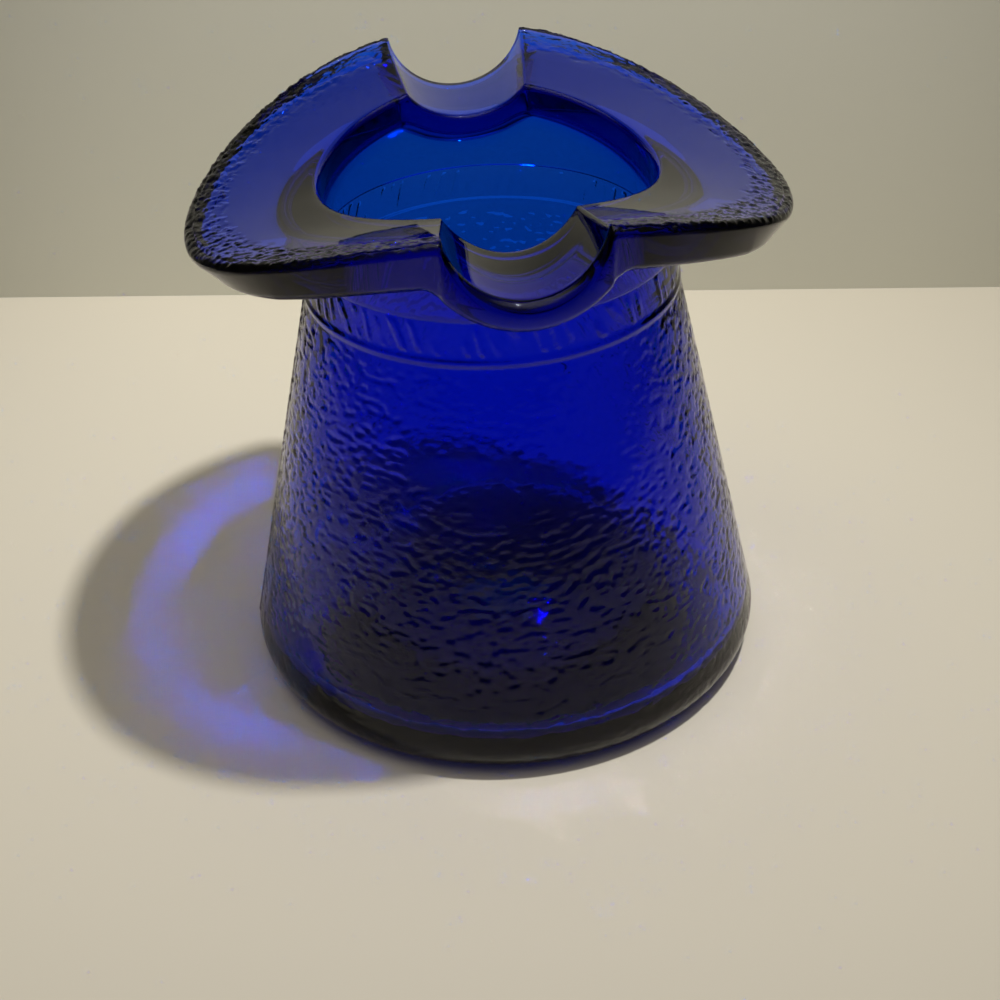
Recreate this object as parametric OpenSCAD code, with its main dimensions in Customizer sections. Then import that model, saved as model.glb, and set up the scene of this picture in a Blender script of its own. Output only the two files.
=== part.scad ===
// Moulded glass hat standing on its crown, with a saddle-shaped brim and two half-round rests.
// Millimetres, +Z up. The origin is the middle of the foot, on the table.
// The brim's tips lie along X, and its rests lie along Y with the front at -Y.

/* [Crown] */
// Widest diameter of the crown, just above its foot
base_d = 50; // [44:0.5:60]
// Rounding of the foot
foot_round = 3; // [1.5:0.25:4.5]
// Height of the crown, from the table to the hat band
crown_h = 38.4; // [34:0.2:46]
// Diameter of the crown where it meets the hat band
crown_top_d = 34; // [33.4:0.2:40]

/* [Hat band] */
// Height of the hat band
band_h = 4; // [2.5:0.25:6]
// How far the band lies below the surface of the neck
band_recess = 0.3; // [0.1:0.05:0.6]
// Width of the fine ridge along the lower edge of the band
ridge_w = 0.7; // [0.4:0.05:1.2]

/* [Hollow] */
// Diameter of the mouth
mouth_d = 29.5; // [27:0.25:31]
// Diameter of the waist, from which the hollow widens downward with the crown
waist_d = 29.2; // [26:0.2:29.8]
// Thickness of the crown's wall below the waist, measured level
wall_t = 2.5; // [1.8:0.1:5]
// Thickness of the glass under the lowest ring of the floor
floor_t = 2; // [1.6:0.2:8]
// Height of the domed middle of the floor above that ring
dome_h = 9.8; // [3:0.2:12]
// Rounding between that ring and the wall of the hollow
floor_round = 2.4; // [1:0.2:4]
// Rounding of the edge of the mouth
mouth_round = 0.6; // [0.2:0.1:1]

/* [Brim] */
// Length of the brim from tip to tip
brim_l = 53.6; // [48:0.2:64]
// Width of the brim from front to back
brim_w = 49.4; // [46:0.2:60]
// Height of the upper side of the brim above the hat band, on the axis
brim_rise = 7.4; // [6.6:0.2:10]
// Drop of the tips below that height
tip_drop = 3.8; // [0:0.2:4.6]
// Rise of the front and back edges above that height
side_rise = 4; // [2:0.2:6]
// Thickness of the brim in its middle
brim_t = 4; // [2.5:0.25:4.75]
// Thickness of the brim at its tips
tip_t = 3; // [2:0.25:4.5]
// Rounding of the upper edge of the brim
edge_round_top = 0.8; // [0.3:0.1:1.2]
// Rounding of the lower edge of the brim
edge_round_low = 2; // [0.5:0.1:2.4]
// Diameter of the neck under the brim
neck_d = 33.8; // [33:0.2:38]
// Rounding between the neck and the underside of the brim
neck_round = 2; // [0.5:0.25:4]

/* [Rests] */
// Diameter of the half-round rests
rest_d = 13.3; // [9:0.1:16]
// Depth of the rest floor below the upper side of the brim, on the axis
rest_sink = 1.8; // [0.4:0.1:2.4]
// Thickness of the glass under each rest
rest_wall = 2.6; // [1.6:0.1:3.2]
// Width of the blend between the trough of a rest and the underside of the brim
rest_blend = 1.5; // [0.2:0.1:3]

/* [Hidden] */
$fn = 128;

cobalt = [0.03, 0.07, 0.52];
cobalt_deep = [0.02, 0.03, 0.24];
cobalt_pale = [0.10, 0.16, 0.60];

base_r = base_d / 2;
crown_top_r = crown_top_d / 2;
neck_r = neck_d / 2;
band_r = neck_r - band_recess;
band_top = crown_h + band_h;
mouth_r = mouth_d / 2;
waist_r = waist_d / 2;
brim_z = band_top + brim_rise;
half_l = brim_l / 2;
half_w = brim_w / 2;
rest_r = rest_d / 2;
lip_r = rest_r + rest_wall;
rest_floor_z = brim_z - rest_sink;
rest_axis_z = rest_floor_z + rest_r;
// The base ends a little above the top of its domed floor
dome_top = floor_t + dome_h;
base_top = dome_top + floor_t;
// Radius that reaches past every piece
reach = brim_l + brim_w + base_d;

// Steps of the loft round each wing, across each rest, and along each arc and face of its section
wing_steps = 44;
rest_steps = 18;
arc_steps = 3;
top_steps = 6;
// The underside has one step less, so that both sides of a section have as many points
under_steps = top_steps - 1;
// Passes of the search for the edge of a rest
edge_passes = 10;

// Point where a line from the outer point p touches a circle of radius r round c
function touch_angle(c, r, p) =
  let (v = p - c)
  atan2(v.y, v.x) - acos(r / norm(v));
function touch_point(c, r, p) =
  let (a = touch_angle(c, r, p))
  c + r * [cos(a), sin(a)];

foot_centre = [base_r - foot_round, foot_round];
foot_touch = touch_point(foot_centre, foot_round, [crown_top_r, crown_h]);
// Growth of the crown's radius for each millimetre downward
flare = (foot_touch.x - crown_top_r) / (crown_h - foot_touch.y);
// Radius of the hollow's wall below the waist, at the height z
function wall_r(z) = crown_top_r + flare * (crown_h - z) - wall_t;
waist_z = crown_h - max(waist_r + wall_t - crown_top_r, 0) / flare;

// Direction square to the wall, and the rounding that touches the wall and the floor
wall_out = [1, flare] / norm([1, flare]);
corner_z = floor_t + floor_round;
floor_centre = [wall_r(corner_z) - floor_round / wall_out.x, corner_z];
floor_touch = floor_centre + floor_round * wall_out;
// The domed floor starts from the foot of that rounding
dome_r = (pow(floor_centre.x, 2) + pow(dome_h, 2)) / (2 * dome_h);

// Radius of the hollow above the waist, at the height z
function hollow_r(z) = waist_r + (mouth_r - waist_r) * (z - waist_z) / (brim_z - waist_z);

// Half section of the crown, filled in to the axis
module crown_outline() {
  polygon([[0, 0], [foot_centre.x, 0], foot_touch, [crown_top_r, crown_h], [0, crown_h]]);
  translate(foot_centre) circle(foot_round);
}

// Half section of the hollow, filled in to the axis
module hollow_outline() {
  difference() {
    union() {
      polygon([
        [0, corner_z], floor_centre, floor_touch,
        [waist_r, waist_z], [mouth_r, brim_z], [0, brim_z]
      ]);
      translate(floor_centre) circle(floor_round);
    }
    translate([0, dome_top - dome_r]) circle(dome_r);
  }
}

// Ring of the crown between two heights
module crown_ring(low, high) {
  rotate_extrude()
    intersection() {
      translate([0, low]) square([reach, high - low]);
      difference() {
        crown_outline();
        hollow_outline();
      }
    }
}

module base() {
  color(cobalt_deep) crown_ring(0, base_top);
}

module crown() {
  color(cobalt) crown_ring(base_top, crown_h);
}

module hat_band() {
  color(cobalt_pale)
    rotate_extrude()
      difference() {
        union() {
          translate([0, crown_h]) square([band_r, band_h]);
          translate([band_r, crown_h + ridge_w / 2]) circle(ridge_w / 2);
        }
        hollow_outline();
      }
}

// Height of the saddle that the upper side of the brim follows
function saddle_z(p) =
  brim_z - tip_drop * pow(p.x / half_l, 2) + side_rise * pow(p.y / half_w, 2);

// Thickness of the brim, thinning toward the tips
function brim_thick(p) = brim_t + (tip_t - brim_t) * pow(p.x / half_l, 2);

// Height at x of a trough of radius r about the axis of the rests
function trough_z(x, r) = rest_axis_z - sqrt(max(r * r - x * x, 0));

// Lower of two heights, with a rounded change from one to the other
function soft_min(a, b, width) =
  min(a, b) - pow(max(width - abs(a - b), 0), 2) / (4 * width);

function top_z(p) = abs(p.x) < rest_r ? min(saddle_z(p), trough_z(p.x, rest_r)) : saddle_z(p);
function under_z(p) = soft_min(saddle_z(p) - brim_thick(p), trough_z(p.x, lip_r), rest_blend);

// Points of the mouth and of the rim in plan, at x on the back half
function mouth_point(x) = [x, sqrt(mouth_r * mouth_r - x * x)];
function rim_point(x) = [x, half_w * sqrt(1 - pow(x / half_l, 2))];

// Half width of a rest where its trough meets the saddle at the height z
function trough_x(z) =
  let (h = z - rest_floor_z)
  h < rest_r ? sqrt(h * (2 * rest_r - h)) : rest_r;
function mouth_edge_x(pass, x) =
  pass < 1 ? x : mouth_edge_x(pass - 1, trough_x(saddle_z(mouth_point(x))));
function rim_edge_x(pass, x) =
  pass < 1 ? x : rim_edge_x(pass - 1, trough_x(saddle_z(rim_point(x))));
rest_in_x = mouth_edge_x(edge_passes, rest_r);
rest_out_x = rim_edge_x(edge_passes, rest_r);

// Stations of the loft, each a pair of plan points on the mouth and on the rim.
// They gather toward the rests, so that the troughs keep their round flanks.
function wing_stations() =
  let (mouth_end = acos(rest_in_x / mouth_r), rim_end = acos(rest_out_x / half_l))
  [for (i = [0:wing_steps])
    let (s = sin(180 * i / wing_steps - 90), m = mouth_end * s, r = rim_end * s)
    [mouth_r * [cos(m), sin(m)], [half_l * cos(r), half_w * sin(r)]]];
function rest_stations() =
  [for (i = [0:rest_steps])
    let (u = cos(180 * i / rest_steps))
    [mouth_point(rest_in_x * u), rim_point(rest_out_x * u)]];

// Point on the line from m toward o that lies r from the axis
function at_radius(m, o, r) =
  let (d = (o - m) / norm(o - m), along = m * d)
  m + d * (sqrt(along * along - m * m + r * r) - along);

// Section at one station, from the mouth over the top to the rim, and back along the underside
function section(m, o) =
  let (
    d = (o - m) / norm(o - m),
    thick = top_z(o) - under_z(o),
    round_top = min(edge_round_top, thick / 3),
    round_low = min(edge_round_low, thick / 2),
    top_start = m + d * mouth_round,
    top_end = o - d * round_top,
    mouth_z = top_z(top_start) - mouth_round,
    lip_z = band_top + band_recess,
    neck_z = under_z(at_radius(m, o, neck_r + neck_round)),
    fillet = min(neck_round, 0.9 * (neck_z - lip_z)),
    under_start = at_radius(m, o, neck_r + fillet),
    under_end = o - d * round_low
  )
  concat(
    [lift(at_radius(m, o, hollow_r(band_top)), band_top)],
    [for (i = [0:arc_steps])
      let (a = 90 * i / arc_steps)
      lift(m + d * mouth_round * (1 - cos(a)), mouth_z + mouth_round * sin(a))],
    [for (i = [1:top_steps - 1])
      let (p = top_start + (top_end - top_start) * i / top_steps)
      lift(p, top_z(p))],
    [for (i = [0:arc_steps])
      let (a = 90 * i / arc_steps)
      lift(top_end + d * round_top * sin(a), top_z(o) - round_top * (1 - cos(a)))],
    [for (i = [arc_steps:-1:0])
      let (a = 90 * i / arc_steps)
      lift(under_end + d * round_low * sin(a), under_z(o) + round_low * (1 - cos(a)))],
    [for (i = [under_steps - 1:-1:1])
      let (p = under_start + (under_end - under_start) * i / under_steps)
      lift(p, under_z(p))],
    [for (i = [arc_steps:-1:0])
      let (a = 90 * i / arc_steps)
      lift(at_radius(m, o, neck_r + fillet * (1 - cos(a))), neck_z - fillet * (1 - sin(a)))],
    [lift(at_radius(m, o, neck_r), lip_z), lift(at_radius(m, o, band_r), band_top)]
  );
function lift(p, z) = [p.x, p.y, z];

// Solid through the sections at a row of stations
module loft(stations) {
  sections = [for (s = stations) section(s[0], s[1])];
  n = len(sections[0]);
  last = (len(sections) - 1) * n;
  skin = [for (i = [0:len(sections) - 2], k = [0:n - 1])
    let (a = i * n + k, b = i * n + (k + 1) % n)
    each [[a, b, b + n], [a, b + n, a + n]]];
  ends = [for (k = [0:n / 2 - 2])
    let (a = k, b = k + 1, c = n - 2 - k, e = n - 1 - k)
    each [[a, c, b], [a, e, c], [last + a, last + b, last + c], [last + a, last + c, last + e]]];
  polyhedron([for (s = sections) each s], concat(skin, ends));
}

module right_brim() {
  color(cobalt) loft(wing_stations());
}

module left_brim() {
  color(cobalt) rotate(180) loft(wing_stations());
}

module back_rest() {
  color(cobalt_pale) loft(rest_stations());
}

module front_rest() {
  color(cobalt_pale) rotate(180) loft(rest_stations());
}

base();
crown();
hat_band();
left_brim();
right_brim();
front_rest();
back_rest();
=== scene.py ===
import bpy
import numpy as np
from mathutils import Matrix, Quaternion, Vector


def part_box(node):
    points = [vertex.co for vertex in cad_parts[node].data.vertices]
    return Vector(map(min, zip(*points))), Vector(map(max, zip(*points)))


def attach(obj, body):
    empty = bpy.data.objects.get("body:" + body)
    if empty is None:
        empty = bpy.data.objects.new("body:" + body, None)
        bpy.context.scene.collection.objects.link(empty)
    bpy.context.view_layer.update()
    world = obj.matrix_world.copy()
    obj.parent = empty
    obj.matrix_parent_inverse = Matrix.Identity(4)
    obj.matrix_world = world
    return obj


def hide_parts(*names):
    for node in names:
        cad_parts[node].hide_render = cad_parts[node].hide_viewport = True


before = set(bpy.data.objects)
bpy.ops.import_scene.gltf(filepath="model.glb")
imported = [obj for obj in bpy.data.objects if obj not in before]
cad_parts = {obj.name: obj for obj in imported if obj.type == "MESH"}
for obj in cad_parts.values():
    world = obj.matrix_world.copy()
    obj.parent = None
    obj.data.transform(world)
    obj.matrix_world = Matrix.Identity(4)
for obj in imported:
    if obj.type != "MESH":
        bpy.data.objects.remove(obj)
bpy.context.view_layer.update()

# Sizes of the hat and of the view are in millimetres, and MM turns them into metres
MM = 0.001


def node_box(node):
    """Lowest and highest corner of a node, in millimetres."""
    low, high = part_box(node)
    return np.array(low) / MM, np.array(high) / MM


# Sizes that the frame gives
BASE_R = node_box("base")[1][0]
BASE_TOP = node_box("base")[1][2]
CROWN_H = node_box("hat_band")[0][2]
BAND_TOP = node_box("hat_band")[1][2]
HALF_L = node_box("right_brim")[1][0]

# Foot, crown, band and neck, whose fillet takes at most a share of its height
FOOT_ROUND = 3.0
FOOT_FACE_R = (2.0, 8.0, 14.0, 19.0)
CROWN_TOP_R = 17.0
NECK_R = 16.9
BAND_RECESS = 0.3
BAND_R = NECK_R - BAND_RECESS
RIDGE_W = 0.7
BEAD_HEIGHT = 0.13
NECK_ROUND = 2.0
NECK_SHARE = 0.9

# Mouth and hollow
MOUTH_R = 14.75
MOUTH_ROUND = 0.6
WAIST_R = 14.6
WAIST_BLEND = 1.2
WALL_T = 2.5
FLOOR_T = 2.0
FLOOR_ROUND = 2.4
DOME_TOP = BASE_TOP - FLOOR_T

# Brim, with its rests and its edge, whose upper rounding takes at most a share of its thickness
RIM_HALF_W = 24.7
BRIM_RISE = 7.4
BRIM_Z = BAND_TOP + BRIM_RISE
TIP_DROP = 3.8
SIDE_RISE = 4.0
BRIM_T = 4.0
TIP_T = 3.0
EDGE_ROUND_TOP = 0.8
EDGE_ROUND_LOW = 0.9
EDGE_SHARE = 0.48
EDGE_LEAN = 0.1
EDGE_DROOP = 1.4
WING_BLEND = 0.4
LIP_ROUND = 1.1
REST_R = 6.65
REST_DEPTH = 1.8
REST_FLOOR_Z = BRIM_Z - REST_DEPTH
REST_AXIS_Z = REST_FLOOR_Z + REST_R
REST_WALL = 2.6
REST_BLEND = 1.5
REST_PASSES = 10

# Steps of the mesh round the hat, and its rings from the foot over the brim to the dome
WING_STEPS = 300
REST_STEPS = 90
FOOT_RINGS = 24
CROWN_RINGS = 160
BAND_RINGS = 60
RECESS_RINGS = 5
NECK_RINGS = 7
FILLET_RINGS = 10
UNDER_RINGS = 14
EDGE_LOW_RINGS = 10
EDGE_TOP_RINGS = 9
BORDER_RINGS = 26
BORDER_REACH = 3.6
BRIM_RINGS = 18
BRIM_REACH = 10.6
MOUTH_RINGS = 8
BORE_RINGS = 12
WALL_RINGS = 48
CORNER_RINGS = 16
DOME_RINGS = 26

# Smooth noise: below, a scale multiplies the place that it is read at, and a shift is added to it
NOISE_TABLE = 256
NOISE_GAIN = 1.6

# Wrinkles of the crown, weaker toward the foot and in a calm patch at the front
BARK_DEPTH = 0.085
BARK_LENGTH = 1.1
BARK_HEIGHT = 0.42
BARK_WARP = 0.35
BARK_WARP_SCALE = 0.8
BARK_WARP_SHIFTS = (3.3, 17.1, 31.7)
BARK_PITS = (0.12, 0.42)
BARK_FOLDS = 0.35
BARK_FOLD_SCALE = 1.7
BARK_FOLD_SHIFT = 5.0
BARK_FULL = 0.4
BARK_END = 0.975
FOOT_BARK = 0.58
FOOT_BARK_ANGLES = (-0.9, -0.2)
CALM_TURN = 4.0
CALM_Z = 32.0
CALM_WIDTH = 14.0
CALM_HEIGHT = 11.0
CALM_LEVEL = 0.22
CALM_EDGE = (0.55, 1.1)
CALM_RAGGED = 0.2
CALM_RAGGED_SCALE = 0.35

# Slanted strokes of the hat band
STROKE_HEIGHT = 0.1
STROKE_PITCH = 1.5
STROKE_LEAN = 0.35
STROKE_FACE = (0.1, 0.7)
STROKE_SHIFT = 0.6
STROKE_SHIFT_SCALE = (0.25, 0.25, 0.05)
STROKE_GAPS = (-0.25, 0.25)
STROKE_GAP_SCALE = (0.45, 0.45, 0.3)
STROKE_GAP_SHIFT = 40.0
STROKE_LOW_END = (0.04, 0.2)
STROKE_HIGH_END = (0.98, 0.8)

# Rough border of the brim
STIPPLE_HEIGHT = 0.18
STIPPLE_GRAIN = 0.45
STIPPLE_MEAN = 0.35
STIPPLE_COARSE = 0.5
STIPPLE_COARSE_SCALE = 0.53
STIPPLE_COARSE_SHIFT = 9.0
STIPPLE_ANGLES = (80.0, 45.0)
STIPPLE_WIDTH = 3.0
RAGGED_WIDTH = 0.5
RAGGED_SCALE = 0.9
RAGGED_SHIFT = 21.0
RAGGED_FADE = 0.4

# Mould seams, and the slow unevenness of the fire-polished faces
SEAM_HEIGHT = 0.1
SEAM_WIDTH = 0.3
WOBBLE_HEIGHT = 0.05
WOBBLE_SIZE = 7.0
CROWN_WOBBLE = 0.6

# Glass: the tint of its faces, which takes out green, and the colour in its depth
GLASS_TINT = (1.0, 0.2, 1.0, 1.0)
GLASS_SPECULAR = (0.5, 0.5, 0.5, 1.0)
GLASS_ROUGHNESS = 0.03
GLASS_IOR = 1.52
DEPTH_COLOUR = (0.0, 0.84, 0.964, 1.0)
DEPTH_DENSITY = 2600.0
LIGHT_BOUNCES = 24

# View of the photograph: the point on the axis that it aims at, and where that point lands
VIEW_TURN = -6.7
VIEW_RISE = 30.72
VIEW_DISTANCE = 162.2
VIEW_ROLL = -2.44
TARGET_Z = 25.0
TARGET_PIXEL = (497.0, 402.8)
FOCAL_PIXELS = 1700.0
IMAGE_PIXELS = 1000.0
SENSOR_WIDTH = 36.0
CLIP_START = 5.0

# Table and backdrop, in metres: the painted shade of each has its centre, its start, its end and its
# last level
TABLE_SIZE = 1.2
TABLE_FRONT = 0.3
TABLE_GAP = 0.0001
TABLE_COLOUR = (0.61, 0.555, 0.445)
TABLE_ROUGHNESS = 0.7
# Painted shadow on the table: darker away from the hat, most toward the front, in place of the shadow
# that the camera casts there
TABLE_PAINTED_SHADOW = ((0, 0.04, 0), 0.13, 0.19, 0.3)
BACKDROP_BACK = 0.072
BACKDROP_TURN = -4.0
BACKDROP_SIZE = 0.8
BACKDROP_HEIGHT = 0.3
BACKDROP_COLOUR = (0.60, 0.58, 0.475)
BACKDROP_ROUGHNESS = 0.8
# Painted shade on the backdrop: darker away from the hat, up its height and to its sides
BACKDROP_PAINTED_SHADE = ((0, 0, 0), 0.085, 0.17, 0.12)

# Lamp, in metres, and the levels of the room from eye level to overhead
LAMP_RIGHT = 0.060
LAMP_FORWARD = 0.023
LAMP_HEIGHT = 0.250
LAMP_AIM_LEFT = 0.045
LAMP_AIM_BACK = 0.07
LAMP_SIZE = 0.014
LAMP_SPREAD = 100.0
LAMP_ENERGY = 0.19
SKY_COLOUR = (1.0, 0.97, 0.90, 1.0)
SKY_STRENGTH = 1.25
SKY_LOW = 0.3
SKY_MIDDLE = 0.75
SKY_HIGH = 0.95
SKY_LEVELS = (0.02, 0.1, 1.0)


class Noise:
    """Smooth seeded noise from about -1 to 1."""

    def __init__(self, seed):
        draw = np.random.default_rng(seed)
        table = draw.permutation(NOISE_TABLE)
        self.table = np.concatenate([table, table])
        slopes = draw.normal(size=(NOISE_TABLE, 3))
        self.slopes = slopes / np.linalg.norm(slopes, axis=1)[:, None]

    def __call__(self, points):
        cell = np.floor(points).astype(int)
        part = points - cell
        ease = part ** 3 * (part * (part * 6 - 15) + 10)
        total = 0
        for corner in np.ndindex(2, 2, 2):
            x, y, z = np.moveaxis((cell + corner) % NOISE_TABLE, -1, 0)
            slope = self.slopes[self.table[self.table[self.table[x] + y] + z]]
            weight = np.prod(np.where(np.array(corner), ease, 1 - ease), axis=-1)
            total = total + weight * np.sum(slope * (part - corner), axis=-1)
        return NOISE_GAIN * total


bark_noise = Noise(11)
bark_fine_noise = Noise(12)
stroke_noise = Noise(13)
grain_noise = Noise(14)
wobble_noise = Noise(15)


def step(low, high, value):
    """0 on the side of low, 1 on the side of high, and smooth between."""
    t = np.clip((value - low) / (high - low), 0, 1)
    return t * t * (3 - 2 * t)


def quarter(count):
    """Angles of a quarter circle."""
    return np.linspace(0, np.pi / 2, count)


def touch_point(centre, radius, outer):
    """Point where a line from the outer point touches a circle, in the half section, and its angle."""
    v = np.subtract(outer, centre)
    angle = np.arctan2(v[1], v[0]) - np.arccos(radius / np.hypot(*v))
    return np.add(centre, [radius * np.cos(angle), radius * np.sin(angle)]), angle


def saddle_z(p):
    """Height of the saddle that the brim follows."""
    return BRIM_Z - TIP_DROP * (p[:, 0] / HALF_L) ** 2 + SIDE_RISE * (p[:, 1] / RIM_HALF_W) ** 2


def trough_z(x, radius):
    """Height of a round trough about the axis of the rests."""
    return REST_AXIS_Z - np.sqrt(np.maximum(radius ** 2 - x ** 2, 0))


def top_z(p):
    """Height of the upper side of the brim, with the rests cut into the saddle."""
    saddle = saddle_z(p)
    cut = np.minimum(saddle, trough_z(p[:, 0], REST_R))
    return np.where(np.abs(p[:, 0]) < REST_R, cut, saddle)


def under_z(p):
    """Height of the underside of the brim, which follows each rest as a trough."""
    thick = BRIM_T + (TIP_T - BRIM_T) * (p[:, 0] / HALF_L) ** 2
    plain = saddle_z(p) - thick
    lip = trough_z(p[:, 0], REST_R + REST_WALL)
    blend = np.maximum(REST_BLEND - np.abs(plain - lip), 0) ** 2 / (4 * REST_BLEND)
    return np.minimum(plain, lip) - blend


def rest_edge(curve):
    """Half width of a rest where its trough meets the saddle along a plan curve."""
    x = REST_R
    for _ in range(REST_PASSES):
        h = saddle_z(np.array([curve(x)]))[0] - REST_FLOOR_Z
        x = np.sqrt(h * (2 * REST_R - h)) if h < REST_R else REST_R
    return x


def mouth_point(x):
    """Plan point on the mouth at a distance to the side."""
    return x, np.sqrt(MOUTH_R ** 2 - x ** 2)


def rim_point(x):
    """Plan point on the rim at a distance to the side."""
    return x, RIM_HALF_W * np.sqrt(1 - (x / HALF_L) ** 2)


def stations():
    """Plan points on the mouth and on the rim, once round, with a station on each edge of a rest."""
    in_x, out_x = rest_edge(mouth_point), rest_edge(rim_point)
    mouth_end, rim_end = np.arccos(in_x / MOUTH_R), np.arccos(out_x / HALF_L)
    s = np.linspace(-1, 1, WING_STEPS, endpoint=False)
    wing_mouth = np.stack([MOUTH_R * np.cos(mouth_end * s), MOUTH_R * np.sin(mouth_end * s)], 1)
    wing_rim = np.stack([HALF_L * np.cos(rim_end * s), RIM_HALF_W * np.sin(rim_end * s)], 1)
    rest_angles = np.linspace(mouth_end, np.pi - mouth_end, REST_STEPS, endpoint=False)
    u = np.cos(rest_angles) * MOUTH_R / in_x
    rest_mouth = np.stack(mouth_point(in_x * u), 1)
    rest_rim = np.stack(rim_point(out_x * u), 1)
    mouth = np.concatenate([wing_mouth, rest_mouth, -wing_mouth, -rest_mouth])
    rim = np.concatenate([wing_rim, rest_rim, -wing_rim, -rest_rim])
    return mouth, rim


mouth, rim = stations()
outward = rim - mouth
outward = outward / np.linalg.norm(outward, axis=1)[:, None]


def at_radius(radius):
    """Plan points on the station lines at a distance from the axis."""
    along = np.sum(mouth * outward, axis=1)
    reach = np.sqrt(along ** 2 - np.sum(mouth ** 2, axis=1) + radius ** 2) - along
    return mouth + outward * reach[:, None]


def turn_of(p):
    """Unit plan vectors from the axis toward the points."""
    return p / np.linalg.norm(p, axis=1)[:, None]


def ring(p, z):
    """Plan points at a height."""
    return np.column_stack([p, np.broadcast_to(z, len(p))])


def raised(p, plan, up, rise):
    """Points moved by a rise along the normal that has these plan and upright parts."""
    return p + np.column_stack([plan, np.broadcast_to(up, len(p))]) * rise[:, None]


def wobble(p):
    """Slow unevenness of the fire-polished faces."""
    return WOBBLE_HEIGHT * wobble_noise(p / WOBBLE_SIZE)


def calm(p):
    """Level of the wrinkles: low in the patch at the front, and 1 away from it."""
    turn = np.radians(CALM_TURN - 90)
    across = CROWN_TOP_R * np.abs(np.angle(np.exp(1j * (np.arctan2(p[:, 1], p[:, 0]) - turn))))
    off = np.hypot(across / CALM_WIDTH, (p[:, 2] - CALM_Z) / CALM_HEIGHT)
    off = off + CALM_RAGGED * bark_noise(p * CALM_RAGGED_SCALE)
    return CALM_LEVEL + (1 - CALM_LEVEL) * step(*CALM_EDGE, off)


def bark(p):
    """Height of the wrinkled texture: flat lands with lying pits between them."""
    q = p / [BARK_LENGTH, BARK_LENGTH, BARK_HEIGHT]
    warp = [bark_fine_noise(q * BARK_WARP_SCALE + shift) for shift in BARK_WARP_SHIFTS]
    q = q + BARK_WARP * np.stack(warp, -1)
    pits = step(*BARK_PITS, bark_noise(q))
    folds = np.abs(bark_fine_noise(q * BARK_FOLD_SCALE + BARK_FOLD_SHIFT))
    return BARK_DEPTH * (BARK_FOLDS * folds - pits) * calm(p)


def strokes(p):
    """Height of the slanted strokes along the hat band."""
    angle = np.arctan2(p[:, 1], p[:, 0])
    count = round(2 * np.pi * BAND_R / STROKE_PITCH)
    slant = STROKE_LEAN * (p[:, 2] - CROWN_H) * 2 * np.pi / STROKE_PITCH
    shift = STROKE_SHIFT * stroke_noise(p * STROKE_SHIFT_SCALE)
    face = step(*STROKE_FACE, np.cos(count * angle + slant + 2 * np.pi * shift))
    reach = step(*STROKE_GAPS, stroke_noise(p * STROKE_GAP_SCALE + STROKE_GAP_SHIFT))
    up = (p[:, 2] - CROWN_H - RIDGE_W) / (BAND_TOP - CROWN_H - RIDGE_W)
    return STROKE_HEIGHT * face * reach * step(*STROKE_LOW_END, up) * step(*STROKE_HIGH_END, up)


def seam(p):
    """Height of the two mould seams, which lie toward the tips."""
    side = np.abs(p[:, 1])
    return SEAM_HEIGHT * np.exp(-(side / SEAM_WIDTH) ** 2)


def stipple(p):
    """Height of the grains in the rough border of the brim."""
    q = p / STIPPLE_GRAIN
    coarse = STIPPLE_COARSE * grain_noise(q * STIPPLE_COARSE_SCALE + STIPPLE_COARSE_SHIFT)
    return STIPPLE_HEIGHT * (np.abs(grain_noise(q)) - STIPPLE_MEAN + coarse)


def border(p, reach):
    """1 in the rough border of the brim and 0 inside it, with a ragged line between."""
    ragged = STIPPLE_WIDTH + RAGGED_WIDTH * grain_noise(p * RAGGED_SCALE + RAGGED_SHIFT)
    return step(ragged + RAGGED_FADE, ragged - RAGGED_FADE, reach)


rings = []

# Foot and crown
outer_turn = turn_of(at_radius(BAND_R))
foot_centre = (BASE_R - FOOT_ROUND, FOOT_ROUND)
crown_top = np.array([CROWN_TOP_R, CROWN_H])
foot_touch, foot_angle = touch_point(foot_centre, FOOT_ROUND, crown_top)
for r in FOOT_FACE_R:
    rings.append(ring(outer_turn * r, 0.0))
for a in np.linspace(-np.pi / 2, foot_angle, FOOT_RINGS):
    r = foot_centre[0] + FOOT_ROUND * np.cos(a)
    p = ring(outer_turn * r, foot_centre[1] + FOOT_ROUND * np.sin(a))
    rise = bark(p) * step(*FOOT_BARK_ANGLES, a) * FOOT_BARK
    rings.append(raised(p, outer_turn * np.cos(a), np.sin(a), rise))
for t in np.linspace(0, 1, CROWN_RINGS)[1:]:
    r, z = foot_touch + (crown_top - foot_touch) * t
    p = ring(outer_turn * r, z)
    fade = (FOOT_BARK + (1 - FOOT_BARK) * step(0.0, BARK_FULL, t)) * step(1.0, BARK_END, t)
    rise = bark(p) * fade + seam(p) + CROWN_WOBBLE * wobble(p)
    rings.append(raised(p, outer_turn * np.cos(foot_angle), np.sin(foot_angle), rise))

# Hat band with its bead and its strokes
for t in np.linspace(0, 1, BAND_RINGS)[1:-1]:
    z = CROWN_H + (BAND_TOP - CROWN_H) * t
    p = ring(outer_turn * (CROWN_TOP_R + (BAND_R - CROWN_TOP_R) * t), z)
    bead = BEAD_HEIGHT * np.exp(-((z - CROWN_H - RIDGE_W / 2) / (RIDGE_W / 2)) ** 2)
    rings.append(raised(p, outer_turn, 0.0, bead + strokes(p) + seam(p)))

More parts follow.
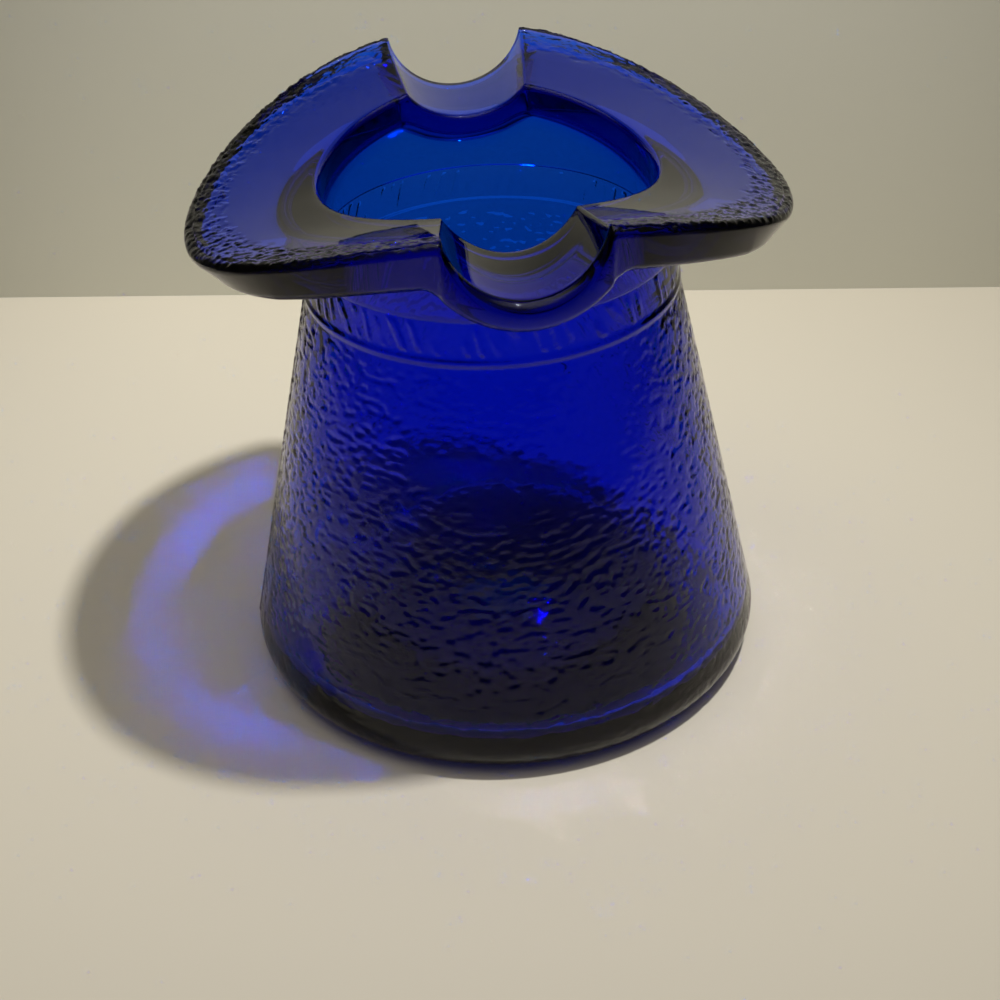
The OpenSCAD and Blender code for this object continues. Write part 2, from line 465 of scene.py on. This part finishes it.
# Neck
lip_z = BAND_TOP + BAND_RECESS
for a in quarter(RECESS_RINGS):
    p = at_radius(NECK_R - BAND_RECESS * (1 - np.sin(a)))
    rings.append(ring(p, lip_z - BAND_RECESS * np.cos(a)))
neck_z = under_z(at_radius(NECK_R + NECK_ROUND))
fillet = np.minimum(NECK_ROUND, NECK_SHARE * (neck_z - lip_z))
for t in np.linspace(0, 1, NECK_RINGS)[1:]:
    rings.append(ring(at_radius(NECK_R), lip_z + (neck_z - fillet - lip_z) * t))
for a in quarter(FILLET_RINGS)[1:]:
    p = at_radius(NECK_R + fillet * (1 - np.cos(a)))
    rings.append(ring(p, neck_z - fillet * (1 - np.sin(a))))

# Underside and edge of the brim, whose outer face leans in where the brim droops
thick = top_z(rim) - under_z(rim)
on_wing = step(0.0, WING_BLEND, np.abs(rim[:, 0]) - rest_edge(rim_point))
edge_round = LIP_ROUND + (EDGE_ROUND_TOP - LIP_ROUND) * on_wing
round_top = np.minimum(edge_round, EDGE_SHARE * thick)[:, None]
round_low = np.minimum(EDGE_ROUND_LOW, thick / 2)[:, None]
droop = np.maximum(saddle_z(rim - outward) - saddle_z(rim), 0)
lean = on_wing * (EDGE_LEAN + EDGE_DROOP * droop)
tilt = np.arctan(lean)
low_rim = rim - outward * (lean * thick)[:, None]
under_start = at_radius(NECK_R + fillet)
under_end = low_rim - outward * round_low
top_end = rim - outward * round_top
for t in np.linspace(0, 1, UNDER_RINGS)[1:-1]:
    p = under_start + (under_end - under_start) * t
    rings.append(ring(p, under_z(p)))
for t in np.linspace(0, 1, EDGE_LOW_RINGS):
    a = t * (np.pi / 2 - tilt)
    p = under_end + outward * round_low * np.sin(a)[:, None]
    rings.append(ring(p, under_z(low_rim) + round_low[:, 0] * (1 - np.cos(a))))
for t in np.linspace(1, 0, EDGE_TOP_RINGS):
    a = t * (np.pi / 2 + tilt)
    p = top_end + outward * round_top * np.sin(a)[:, None]
    p = ring(p, top_z(rim) - round_top[:, 0] * (1 - np.cos(a)))
    rough = on_wing * step(*np.radians(STIPPLE_ANGLES), a)
    rings.append(raised(p, outward * np.sin(a)[:, None], np.cos(a), stipple(p) * rough))

# Upper side of the brim, with its rough border
top_start = mouth + outward * MOUTH_ROUND
width = np.linalg.norm(top_end - top_start, axis=1)
in_border = np.linspace(0, BORDER_REACH, BORDER_RINGS)[1:]
past_border = np.linspace(BORDER_REACH, BRIM_REACH, BRIM_RINGS)[1:-1]
for t in np.concatenate([in_border, past_border]) / BRIM_REACH:
    p = top_end + (top_start - top_end) * t
    p = ring(p, top_z(p))
    p[:, 2] += stipple(p) * (border(p, t * width) * on_wing) + wobble(p)
    rings.append(p)

# Mouth
mouth_z = top_z(top_start) - MOUTH_ROUND
for a in quarter(MOUTH_RINGS)[::-1]:
    p = mouth + outward * MOUTH_ROUND * (1 - np.cos(a))
    rings.append(ring(p, mouth_z + MOUTH_ROUND * np.sin(a)))

# Hollow
inner_turn = turn_of(mouth)
flare = (foot_touch[0] - CROWN_TOP_R) / (CROWN_H - foot_touch[1])
waist_z = CROWN_H - (WAIST_R + WALL_T - CROWN_TOP_R) / flare


def hollow_r(z):
    """Radius of the hollow: a bore above the waist, and below it a wall that widens with the crown."""
    bore = WAIST_R + (MOUTH_R - WAIST_R) * (np.minimum(z, BRIM_Z) - waist_z) / (BRIM_Z - waist_z)
    wall = CROWN_TOP_R + flare * (CROWN_H - z) - WALL_T
    blend = np.maximum(WAIST_BLEND - np.abs(bore - wall), 0) ** 2 / (4 * WAIST_BLEND)
    return np.maximum(bore, wall) + blend


for t in np.linspace(0, 1, BORE_RINGS)[1:]:
    z = mouth_z + (BAND_TOP - mouth_z) * t
    rings.append(ring(inner_turn * hollow_r(z)[:, None], z))
wall_out = np.array([1, flare]) / np.hypot(1, flare)
corner_z = FLOOR_T + FLOOR_ROUND
floor_centre = np.array([hollow_r(corner_z) - FLOOR_ROUND / wall_out[0], corner_z])
floor_touch = floor_centre + FLOOR_ROUND * wall_out
for z in np.linspace(BAND_TOP, floor_touch[1], WALL_RINGS)[1:]:
    p = ring(inner_turn * hollow_r(z), z)
    rings.append(raised(p, inner_turn, 0.0, -wobble(p)))
for a in np.linspace(np.arctan2(flare, 1), -np.pi / 2, CORNER_RINGS)[1:]:
    r = floor_centre[0] + FLOOR_ROUND * np.cos(a)
    rings.append(ring(inner_turn * r, corner_z + FLOOR_ROUND * np.sin(a)))

# Domed floor of the hollow
dome_h = DOME_TOP - FLOOR_T
dome_r = (floor_centre[0] ** 2 + dome_h ** 2) / (2 * dome_h)
for a in np.linspace(np.arcsin(floor_centre[0] / dome_r), 0, DOME_RINGS)[1:-1]:
    rings.append(ring(inner_turn * dome_r * np.sin(a), DOME_TOP - dome_r * (1 - np.cos(a))))


def closed_mesh(name, rows):
    """Mesh through rows of points round the axis, closed by a point at each end."""
    rows = np.array(rows)
    count, around = rows.shape[:2]
    foot, floor = [0, 0, rows[0, 0, 2]], [0, 0, DOME_TOP]
    points = np.concatenate([rows.reshape(-1, 3), [foot, floor]]) * MM
    k = np.arange(count - 1)[:, None] * around
    i = np.arange(around)[None, :]
    j = (i + 1) % around
    quads = np.stack([k + i, k + j, k + around + j, k + around + i], -1).reshape(-1, 4)
    i, j = i[0], j[0]
    foot_index, floor_index = count * around, count * around + 1
    last = (count - 1) * around
    fans = np.concatenate([
        np.stack([j, i, np.full(around, foot_index)], -1),
        np.stack([last + i, last + j, np.full(around, floor_index)], -1),
    ])
    loops = np.concatenate([quads.ravel(), fans.ravel()])
    totals = np.concatenate([np.full(len(quads), 4), np.full(len(fans), 3)])
    starts = np.concatenate([[0], np.cumsum(totals)[:-1]])
    mesh = bpy.data.meshes.new(name)
    mesh.vertices.add(len(points))
    mesh.vertices.foreach_set("co", points.ravel())
    mesh.loops.add(len(loops))
    mesh.loops.foreach_set("vertex_index", loops)
    mesh.polygons.add(len(totals))
    mesh.polygons.foreach_set("loop_start", starts)
    mesh.polygons.foreach_set("use_smooth", np.ones(len(totals), bool))
    mesh.update(calc_edges=True)
    mesh.validate()
    piece = bpy.data.objects.new(name, mesh)
    bpy.context.collection.objects.link(piece)
    return piece


def glass_material():
    """Cobalt-blue glass: tinted faces, and colour that grows with the depth."""
    material = bpy.data.materials.new("cobalt_glass")
    material.use_nodes = True
    nodes, links = material.node_tree.nodes, material.node_tree.links
    shader = nodes["Principled BSDF"]
    shader.inputs["Base Color"].default_value = GLASS_TINT
    shader.inputs["Roughness"].default_value = GLASS_ROUGHNESS
    shader.inputs["IOR"].default_value = GLASS_IOR
    shader.inputs["Specular Tint"].default_value = GLASS_SPECULAR
    shader.inputs["Transmission Weight"].default_value = 1.0
    depth = nodes.new("ShaderNodeVolumeAbsorption")
    depth.inputs["Color"].default_value = DEPTH_COLOUR
    depth.inputs["Density"].default_value = DEPTH_DENSITY
    links.new(depth.outputs["Volume"], nodes["Material Output"].inputs["Volume"])
    return material


hat = closed_mesh("glass_hat", rings)
hat.data.materials.append(glass_material())
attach(hat, "root")
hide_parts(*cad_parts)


def matt_material_with_painted_shade(name, colour, roughness, fade):
    """Matt colour with painted shade: it fades to a darker level between two distances from a place.
    """
    centre, start, end, level = fade
    material = bpy.data.materials.new(name)
    material.use_nodes = True
    nodes, links = material.node_tree.nodes, material.node_tree.links
    shader = nodes["Principled BSDF"]
    shader.inputs["Roughness"].default_value = roughness
    place = nodes.new("ShaderNodeTexCoord")
    distance = nodes.new("ShaderNodeVectorMath")
    distance.operation = "DISTANCE"
    distance.inputs[1].default_value = centre
    shade = nodes.new("ShaderNodeMapRange")
    shade.interpolation_type = "SMOOTHSTEP"
    shade.inputs["From Min"].default_value = start
    shade.inputs["From Max"].default_value = end
    # Painted shade: the colour mixes from its own tone near the place to a darker copy far from it
    mix = nodes.new("ShaderNodeMix")
    mix.data_type = "RGBA"
    near, far = [socket for socket in mix.inputs if socket.type == "RGBA"]
    near.default_value = (*colour, 1.0)
    far.default_value = (*(level * c for c in colour), 1.0)
    links.new(place.outputs["Object"], distance.inputs[0])
    links.new(distance.outputs["Value"], shade.inputs["Value"])
    links.new(shade.outputs["Result"], mix.inputs["Factor"])
    mixed = [socket for socket in mix.outputs if socket.type == "RGBA"][0]
    links.new(mixed, shader.inputs["Base Color"])
    return material


def open_behind(material):
    """Let a view from behind pass through a plate, which stays solid from the front."""
    nodes, links = material.node_tree.nodes, material.node_tree.links
    side = nodes.new("ShaderNodeNewGeometry")
    clear = nodes.new("ShaderNodeBsdfTransparent")
    mix = nodes.new("ShaderNodeMixShader")
    links.new(side.outputs["Backfacing"], mix.inputs["Fac"])
    links.new(nodes["Principled BSDF"].outputs["BSDF"], mix.inputs[1])
    links.new(clear.outputs["BSDF"], mix.inputs[2])
    links.new(mix.outputs["Shader"], nodes["Material Output"].inputs["Surface"])


def rectangle(middle, across, along, half, start, end):
    """Corners of a plate that reaches half to each side of a line, and from start to end along it."""
    places = ((-half, start), (half, start), (half, end), (-half, end))
    return [middle + across * x + along * y for x, y in places]


def plate(name, corners, material):
    """Flat plate of the stage."""
    mesh = bpy.data.meshes.new(name)
    mesh.from_pydata(corners, [], [(0, 1, 2, 3)])
    mesh.materials.append(material)
    piece = bpy.data.objects.new(name, mesh)
    bpy.context.collection.objects.link(piece)


def turned(degrees, vector):
    """Vector turned about the upright axis."""
    return Quaternion((0, 0, 1), np.radians(degrees)) @ Vector(vector)


view_right = turned(VIEW_TURN, (1, 0, 0))
view_back = turned(VIEW_TURN, (0, 1, 0))

# Table, square to the view, with a painted shadow, and the backdrop, turned a little from it, with
# painted shade
pale_floor_painted_shadow = matt_material_with_painted_shade("pale_floor_painted_shadow", TABLE_COLOUR, TABLE_ROUGHNESS, TABLE_PAINTED_SHADOW)
table_middle = Vector((0, 0, -TABLE_GAP))
table_corners = rectangle(table_middle, view_right, view_back, TABLE_SIZE, -TABLE_FRONT, TABLE_SIZE)
plate("floor", table_corners, pale_floor_painted_shadow)
# The backdrop's colour carries painted shade, darker away from the hat
pale_backdrop_painted_shade = matt_material_with_painted_shade("pale_backdrop_painted_shade", BACKDROP_COLOUR, BACKDROP_ROUGHNESS, BACKDROP_PAINTED_SHADE)
open_behind(pale_backdrop_painted_shade)
backdrop_foot = view_back * BACKDROP_BACK
backdrop_right = turned(BACKDROP_TURN, view_right)
upright = Vector((0, 0, 1))
backdrop_corners = rectangle(backdrop_foot, backdrop_right, upright, BACKDROP_SIZE, 0, BACKDROP_HEIGHT)
plate("backdrop", backdrop_corners, pale_backdrop_painted_shade)


def add_lamp():
    """Small lamp nearly overhead, a little to the right and to the front."""
    lamp = bpy.data.lights.new("key", "AREA")
    lamp.shape = "DISK"
    lamp.size = LAMP_SIZE
    lamp.spread = np.radians(LAMP_SPREAD)
    lamp.energy = LAMP_ENERGY
    piece = bpy.data.objects.new("key", lamp)
    piece.location = view_right * LAMP_RIGHT - view_back * LAMP_FORWARD + Vector((0, 0, LAMP_HEIGHT))
    from_aim = piece.location + view_right * LAMP_AIM_LEFT - view_back * LAMP_AIM_BACK
    piece.rotation_euler = from_aim.to_track_quat("Z", "Y").to_euler()
    bpy.context.collection.objects.link(piece)


def add_room():
    """Room that is dark at eye level and bright overhead."""
    world = bpy.data.worlds.new("soft_room")
    world.use_nodes = True
    nodes, links = world.node_tree.nodes, world.node_tree.links
    background = nodes["Background"]
    background.inputs["Color"].default_value = SKY_COLOUR
    direction = nodes.new("ShaderNodeTexCoord")
    split = nodes.new("ShaderNodeSeparateXYZ")
    ramp = nodes.new("ShaderNodeValToRGB")
    strength = nodes.new("ShaderNodeMapRange")
    strength.inputs["To Max"].default_value = SKY_STRENGTH
    stops = ramp.color_ramp.elements
    stops[0].position = SKY_LOW
    stops[1].position = SKY_HIGH
    stops.new(SKY_MIDDLE)
    for stop, level in zip(stops, SKY_LEVELS):
        stop.color = (level, level, level, 1.0)
    links.new(direction.outputs["Generated"], split.inputs["Vector"])
    links.new(split.outputs["Z"], ramp.inputs["Fac"])
    links.new(ramp.outputs["Color"], strength.inputs["Value"])
    links.new(strength.outputs["Result"], background.inputs["Strength"])
    bpy.context.scene.world = world


def add_camera():
    """Camera at the photograph's view, turned so that the target lands on its pixel."""
    camera = bpy.data.cameras.new("camera")
    camera.sensor_fit = "HORIZONTAL"
    camera.sensor_width = SENSOR_WIDTH
    camera.lens = camera.sensor_width * FOCAL_PIXELS / IMAGE_PIXELS
    camera.clip_start = CLIP_START * MM
    target = Vector((0, 0, TARGET_Z * MM))
    rise = np.radians(VIEW_RISE)
    eye = target + (Vector((0, 0, np.sin(rise))) - view_back * np.cos(rise)) * VIEW_DISTANCE * MM
    look = (target - eye).to_track_quat("-Z", "Y")
    roll = Quaternion((0, 0, 1), np.radians(VIEW_ROLL))
    half = IMAGE_PIXELS / 2
    to_pixel = Vector((TARGET_PIXEL[0] - half, half - TARGET_PIXEL[1], -FOCAL_PIXELS))
    swing = Vector((0, 0, -1)).rotation_difference(to_pixel)
    piece = bpy.data.objects.new("camera", camera)
    turn = look @ roll @ swing.inverted()
    piece.matrix_world = Matrix.Translation(eye) @ turn.to_matrix().to_4x4()
    bpy.context.collection.objects.link(piece)
    bpy.context.scene.camera = piece


add_lamp()
add_room()
add_camera()
scene = bpy.context.scene
scene.view_settings.view_transform = "Standard"
scene.cycles.max_bounces = LIGHT_BOUNCES
scene.cycles.transmission_bounces = LIGHT_BOUNCES
scene.cycles.blur_glossy = 0.0
scene.cycles.sample_clamp_indirect = 0.0
